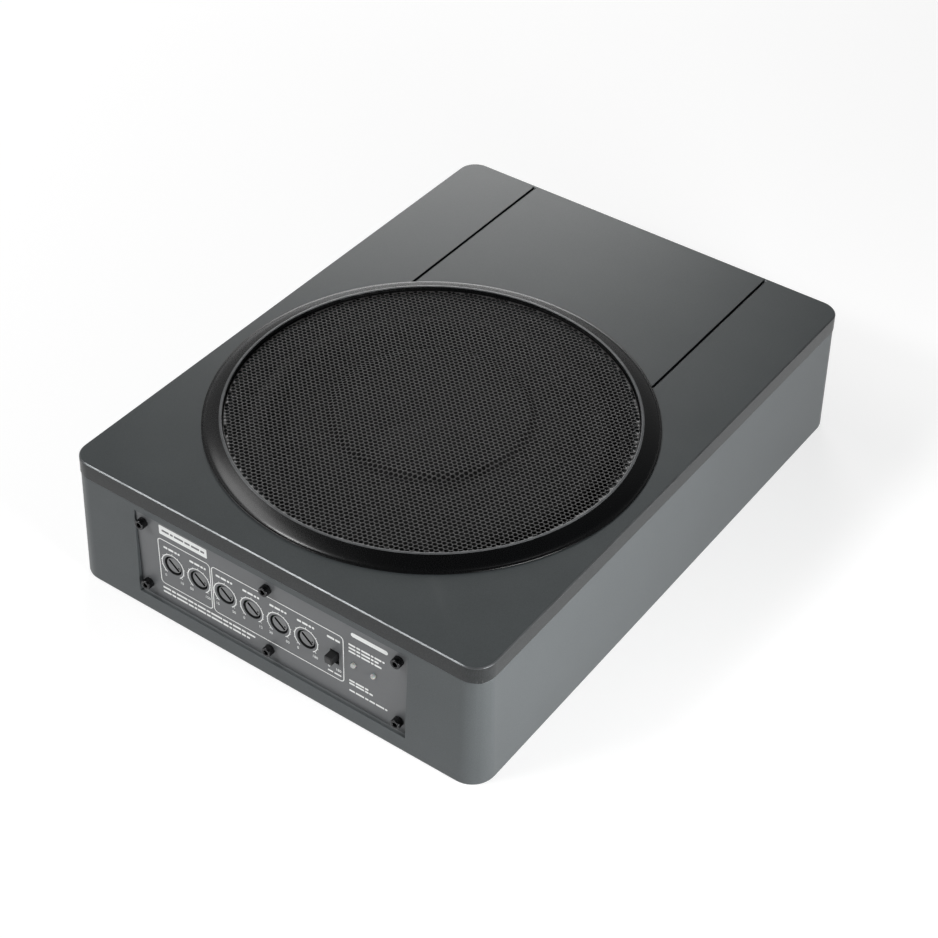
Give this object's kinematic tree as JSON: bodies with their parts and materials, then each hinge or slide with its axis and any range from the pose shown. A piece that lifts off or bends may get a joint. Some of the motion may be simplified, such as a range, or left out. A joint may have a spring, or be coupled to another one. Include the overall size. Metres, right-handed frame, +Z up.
{
  "type": "powered car subwoofer",
  "caption": "Flat under-seat car subwoofer: drafted cast box, round raised grille over a shallow driver, recessed control panel with trim knobs, rear connector pocket.",
  "frame": {"origin": "centre of the flat underside, on the surface it rests on", "axes": "+Z up through the cover, +Y along the long side from the control panel to the connectors, +X across, to the right when facing the control panel"},
  "size_m": [0.252, 0.3475, 0.0811],
  "materials": {
    "cast_body": "satin dark grey paint over cast aluminium",
    "cast_cover": "satin charcoal paint over cast aluminium",
    "ring_paint": "satin black moulded ring",
    "grille_mesh": "matte black perforated steel",
    "panel_plate": "satin grey painted plate, white printing",
    "rear_plate": "satin dark grey painted plate",
    "black_screw": "black oxide",
    "zinc_screw": "bright zinc",
    "seal_rubber": "matte",
    "gasket_foam": "matte closed-cell foam",
    "basket_paint": "satin black",
    "cone_paper": "coated pressed paper",
    "former_film": "satin foil",
    "copper_wire": "enamelled copper",
    "spider_cloth": "resin-coated woven cloth",
    "motor_steel": "zinc plated",
    "ferrite": "matte ground ferrite",
    "terminal_card": "matte laminate",
    "wire_jacket": "satin insulation",
    "board_laminate": "green solder mask",
    "brass_pillar": "bright",
    "black_plastic": "matte",
    "knob_plastic": "satin grey",
    "switch_shell": "satin",
    "light_lens": "translucent",
    "ribbon_jacket": "satin grey",
    "capacitor_sleeve": "shrink sleeve",
    "enamel_winding": "enamelled winding",
    "choke_ferrite": "matte",
    "epoxy": "moulded epoxy",
    "plated_screw": "nickel plated",
    "fuse_body": "translucent amber",
    "gold_plate": "bright gold plate",
    "ring_plastic": "gloss",
    "socket_nylon": "natural nylon"
  },
  "bodies": {
    "cabinet": {"enclosure": "cast_body", "top_cover": "cast_cover", "cover_seal": "seal_rubber", "cover_screws": "black_screw", "grille_ring": "ring_paint", "grille": "grille_mesh", "grille_ring_screws": "black_screw", "driver_basket": "basket_paint", "driver_gasket": "gasket_foam", "driver_screws": "zinc_screw", "surround": "seal_rubber", "spider": "spider_cloth", "top_plate": "motor_steel", "magnet": "ferrite", "yoke": "motor_steel", "driver_terminals": "terminal_card", "lead_wires": "copper_wire", "speaker_wires": "wire_jacket", "control_panel": "panel_plate", "panel_screws": "black_screw", "control_board": "board_laminate", "board_pillars": "brass_pillar", "potentiometers": "black_plastic", "phase_switch": "switch_shell", "power_light": "light_lens", "protection_light": "light_lens", "ribbon_cable": "ribbon_jacket", "ribbon_headers": "black_plastic", "amplifier_board": "board_laminate", "board_screws": "zinc_screw", "filter_capacitors": "capacitor_sleeve", "power_transformer": "enamel_winding", "output_choke": "choke_ferrite", "power_transistors": "epoxy", "transistor_clamp": "zinc_screw", "clamp_screws": "zinc_screw", "rear_panel": "rear_plate", "rear_panel_screws": "black_screw", "power_terminal": "black_plastic", "terminal_screws": "plated_screw", "fuse_holder": "black_plastic", "fuses": "fuse_body", "line_input_jacks": "gold_plate", "line_input_rings": "ring_plastic", "speaker_level_socket": "socket_nylon", "remote_socket": "black_plastic"},
    "cone_assembly": {"cone": "cone_paper", "dust_cap": "cone_paper", "coil_former": "former_film", "voice_coil": "copper_wire"},
    "input_gain_knob": {"input_gain_knob": "knob_plastic"},
    "low_pass_knob": {"low_pass_knob": "knob_plastic"},
    "subsonic_knob": {"subsonic_knob": "knob_plastic"},
    "boost_level_knob": {"boost_level_knob": "knob_plastic"},
    "boost_frequency_knob": {"boost_frequency_knob": "knob_plastic"},
    "phase_knob": {"phase_knob": "knob_plastic"},
    "phase_lever": {"phase_lever": "black_plastic"}
  },
  "joints": [
    {"name": "cone_travel", "type": "slide", "parent": "cabinet", "child": "cone_assembly", "axis": [0, 0, 1], "range_m": [-0.006, 0.006], "stiffness_N_per_m": 3000, "deforming": ["surround", "spider", "lead_wires"]},
    {"name": "input_gain_turn", "type": "hinge", "parent": "cabinet", "child": "input_gain_knob", "pos_m": [-0.0609, -0.165, 0.0366], "axis": [0, -1, 0], "range_deg": [0, 270]},
    {"name": "low_pass_turn", "type": "hinge", "parent": "cabinet", "child": "low_pass_knob", "pos_m": [-0.04415, -0.165, 0.0366], "axis": [0, -1, 0], "range_deg": [0, 270]},
    {"name": "subsonic_turn", "type": "hinge", "parent": "cabinet", "child": "subsonic_knob", "pos_m": [-0.0274, -0.165, 0.0366], "axis": [0, -1, 0], "range_deg": [0, 270]},
    {"name": "boost_level_turn", "type": "hinge", "parent": "cabinet", "child": "boost_level_knob", "pos_m": [-0.01065, -0.165, 0.0366], "axis": [0, -1, 0], "range_deg": [0, 270]},
    {"name": "boost_frequency_turn", "type": "hinge", "parent": "cabinet", "child": "boost_frequency_knob", "pos_m": [0.0061, -0.165, 0.0366], "axis": [0, -1, 0], "range_deg": [0, 270]},
    {"name": "phase_turn", "type": "hinge", "parent": "cabinet", "child": "phase_knob", "pos_m": [0.02285, -0.165, 0.0366], "axis": [0, -1, 0], "range_deg": [0, 270]},
    {"name": "phase_slide", "type": "slide", "parent": "cabinet", "child": "phase_lever", "axis": [0, 0, 1], "range_m": [-0.003, 0]}
  ]
}
